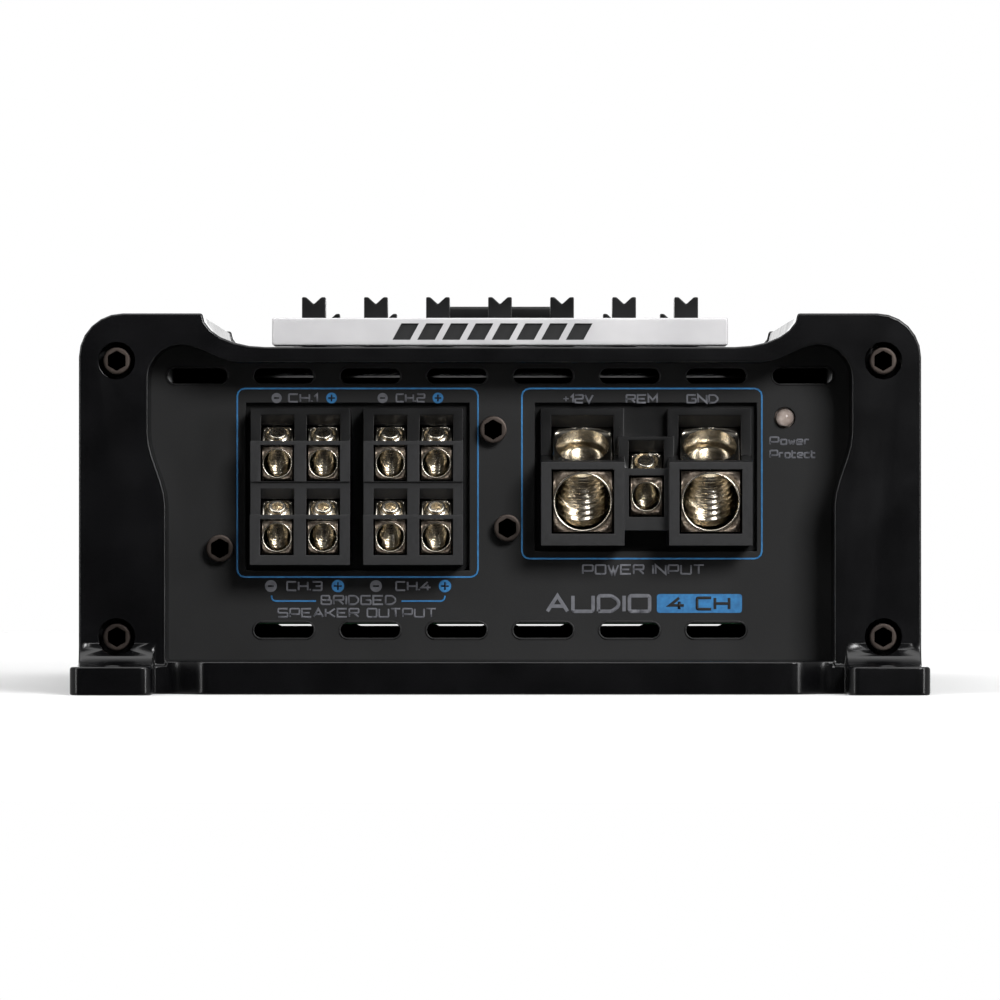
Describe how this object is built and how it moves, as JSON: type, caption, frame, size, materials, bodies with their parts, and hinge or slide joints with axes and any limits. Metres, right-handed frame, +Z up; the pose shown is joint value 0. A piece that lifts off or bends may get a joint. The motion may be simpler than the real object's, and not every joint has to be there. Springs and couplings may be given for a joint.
{
  "type": "car amplifier",
  "caption": "Compact finned car audio amplifier with cast end caps, mounting ears, a recessed panel of screw clamp terminals and a panel of signal jacks and controls.",
  "frame": {"origin": "on the mounting surface, under the middle of the case", "axes": "+Z up away from the mounting surface, -Y out of the terminal end, +Y out of the signal end, +X to the right as the terminal end is looked at"},
  "size_m": [0.15, 0.19, 0.07],
  "materials": {
    "satin_black_casting": "satin",
    "matt_black_powder_coat": "matte",
    "black_anodised_aluminium": "satin",
    "polished_aluminium": "polished",
    "black_nylon": "matte",
    "nickel_plated_brass": "polished",
    "blackened_steel": "satin",
    "diffused_lens": "satin",
    "board_laminate": "satin",
    "enamelled_copper": "satin",
    "capacitor_sleeve": "satin",
    "moulded_epoxy": "matte"
  },
  "bodies": {
    "amplifier": {"heatsink": "black_anodised_aluminium", "bottom_plate": "matt_black_powder_coat", "front_end_cap": "satin_black_casting", "rear_end_cap": "satin_black_casting", "terminal_panel": "matt_black_powder_coat", "signal_panel": "matt_black_powder_coat", "front_trim_bar": "polished_aluminium", "rear_trim_bar": "polished_aluminium", "badge_plate": "black_anodised_aluminium", "front_cap_screw_1": "blackened_steel", "front_cap_screw_2": "blackened_steel", "front_cap_screw_3": "blackened_steel", "front_cap_screw_4": "blackened_steel", "rear_cap_screw_1": "blackened_steel", "rear_cap_screw_2": "blackened_steel", "rear_cap_screw_3": "blackened_steel", "rear_cap_screw_4": "blackened_steel", "panel_screw_1": "blackened_steel", "panel_screw_2": "blackened_steel", "panel_screw_3": "blackened_steel", "speaker_terminal_housing": "black_nylon", "power_terminal_housing": "black_nylon", "speaker_clamp_1": "nickel_plated_brass", "speaker_clamp_2": "nickel_plated_brass", "speaker_clamp_3": "nickel_plated_brass", "speaker_clamp_4": "nickel_plated_brass", "speaker_clamp_5": "nickel_plated_brass", "speaker_clamp_6": "nickel_plated_brass", "speaker_clamp_7": "nickel_plated_brass", "speaker_clamp_8": "nickel_plated_brass", "positive_clamp": "nickel_plated_brass", "ground_clamp": "nickel_plated_brass", "remote_clamp": "nickel_plated_brass", "status_led": "diffused_lens", "signal_jack_block": "black_nylon", "input_board": "board_laminate", "main_board": "board_laminate", "power_transformer": "enamelled_copper", "filter_capacitor_1": "capacitor_sleeve", "filter_capacitor_2": "capacitor_sleeve", "transistor_bank_left": "moulded_epoxy", "transistor_bank_right": "moulded_epoxy"},
    "speaker_set_screw_1": {"speaker_set_screw_1": "nickel_plated_brass"},
    "speaker_set_screw_2": {"speaker_set_screw_2": "nickel_plated_brass"},
    "speaker_set_screw_3": {"speaker_set_screw_3": "nickel_plated_brass"},
    "speaker_set_screw_4": {"speaker_set_screw_4": "nickel_plated_brass"},
    "speaker_set_screw_5": {"speaker_set_screw_5": "nickel_plated_brass"},
    "speaker_set_screw_6": {"speaker_set_screw_6": "nickel_plated_brass"},
    "speaker_set_screw_7": {"speaker_set_screw_7": "nickel_plated_brass"},
    "speaker_set_screw_8": {"speaker_set_screw_8": "nickel_plated_brass"},
    "positive_set_screw": {"positive_set_screw": "nickel_plated_brass"},
    "ground_set_screw": {"ground_set_screw": "nickel_plated_brass"},
    "remote_set_screw": {"remote_set_screw": "nickel_plated_brass"},
    "level_knob_rear": {"level_knob_rear": "black_nylon"},
    "level_knob_front": {"level_knob_front": "black_nylon"},
    "crossover_knob_rear": {"crossover_knob_rear": "black_nylon"},
    "crossover_knob_front": {"crossover_knob_front": "black_nylon"},
    "filter_switch_rear": {"filter_switch_rear": "black_nylon"},
    "filter_switch_front": {"filter_switch_front": "black_nylon"}
  },
  "joints": [
    {"name": "speaker_set_screw_1_travel", "type": "slide", "parent": "amplifier", "child": "speaker_set_screw_1", "axis": [0, -0.7071, 0.7071], "range_m": [0, 0.0055]},
    {"name": "speaker_set_screw_2_travel", "type": "slide", "parent": "amplifier", "child": "speaker_set_screw_2", "axis": [0, -0.7071, 0.7071], "range_m": [0, 0.0055]},
    {"name": "speaker_set_screw_3_travel", "type": "slide", "parent": "amplifier", "child": "speaker_set_screw_3", "axis": [0, -0.7071, 0.7071], "range_m": [0, 0.0055]},
    {"name": "speaker_set_screw_4_travel", "type": "slide", "parent": "amplifier", "child": "speaker_set_screw_4", "axis": [0, -0.7071, 0.7071], "range_m": [0, 0.0055]},
    {"name": "speaker_set_screw_5_travel", "type": "slide", "parent": "amplifier", "child": "speaker_set_screw_5", "axis": [0, -0.7071, 0.7071], "range_m": [0, 0.0055]},
    {"name": "speaker_set_screw_6_travel", "type": "slide", "parent": "amplifier", "child": "speaker_set_screw_6", "axis": [0, -0.7071, 0.7071], "range_m": [0, 0.0055]},
    {"name": "speaker_set_screw_7_travel", "type": "slide", "parent": "amplifier", "child": "speaker_set_screw_7", "axis": [0, -0.7071, 0.7071], "range_m": [0, 0.0055]},
    {"name": "speaker_set_screw_8_travel", "type": "slide", "parent": "amplifier", "child": "speaker_set_screw_8", "axis": [0, -0.7071, 0.7071], "range_m": [0, 0.0055]},
    {"name": "positive_set_screw_travel", "type": "slide", "parent": "amplifier", "child": "positive_set_screw", "axis": [0, -0.6157, 0.788], "range_m": [0, 0.0082]},
    {"name": "ground_set_screw_travel", "type": "slide", "parent": "amplifier", "child": "ground_set_screw", "axis": [0, -0.6157, 0.788], "range_m": [0, 0.0082]},
    {"name": "remote_set_screw_travel", "type": "slide", "parent": "amplifier", "child": "remote_set_screw", "axis": [0, -0.7071, 0.7071], "range_m": [0, 0.0046]},
    {"name": "level_knob_rear_turn", "type": "hinge", "parent": "amplifier", "child": "level_knob_rear", "pos_m": [0, 0.071, 0.0285], "axis": [0, -1, 0], "range_deg": [-140, 140]},
    {"name": "level_knob_front_turn", "type": "hinge", "parent": "amplifier", "child": "level_knob_front", "pos_m": [0, 0.071, 0.0435], "axis": [0, -1, 0], "range_deg": [-140, 140]},
    {"name": "crossover_knob_rear_turn", "type": "hinge", "parent": "amplifier", "child": "crossover_knob_rear", "pos_m": [-0.018, 0.071, 0.0285], "axis": [0, -1, 0], "range_deg": [-140, 140]},
    {"name": "crossover_knob_front_turn", "type": "hinge", "parent": "amplifier", "child": "crossover_knob_front", "pos_m": [-0.018, 0.071, 0.0435], "axis": [0, -1, 0], "range_deg": [-140, 140]},
    {"name": "filter_switch_rear_slide", "type": "slide", "parent": "amplifier", "child": "filter_switch_rear", "axis": [1, 0, 0], "range_m": [-0.002, 0.002]},
    {"name": "filter_switch_front_slide", "type": "slide", "parent": "amplifier", "child": "filter_switch_front", "axis": [1, 0, 0], "range_m": [-0.002, 0.002]}
  ]
}
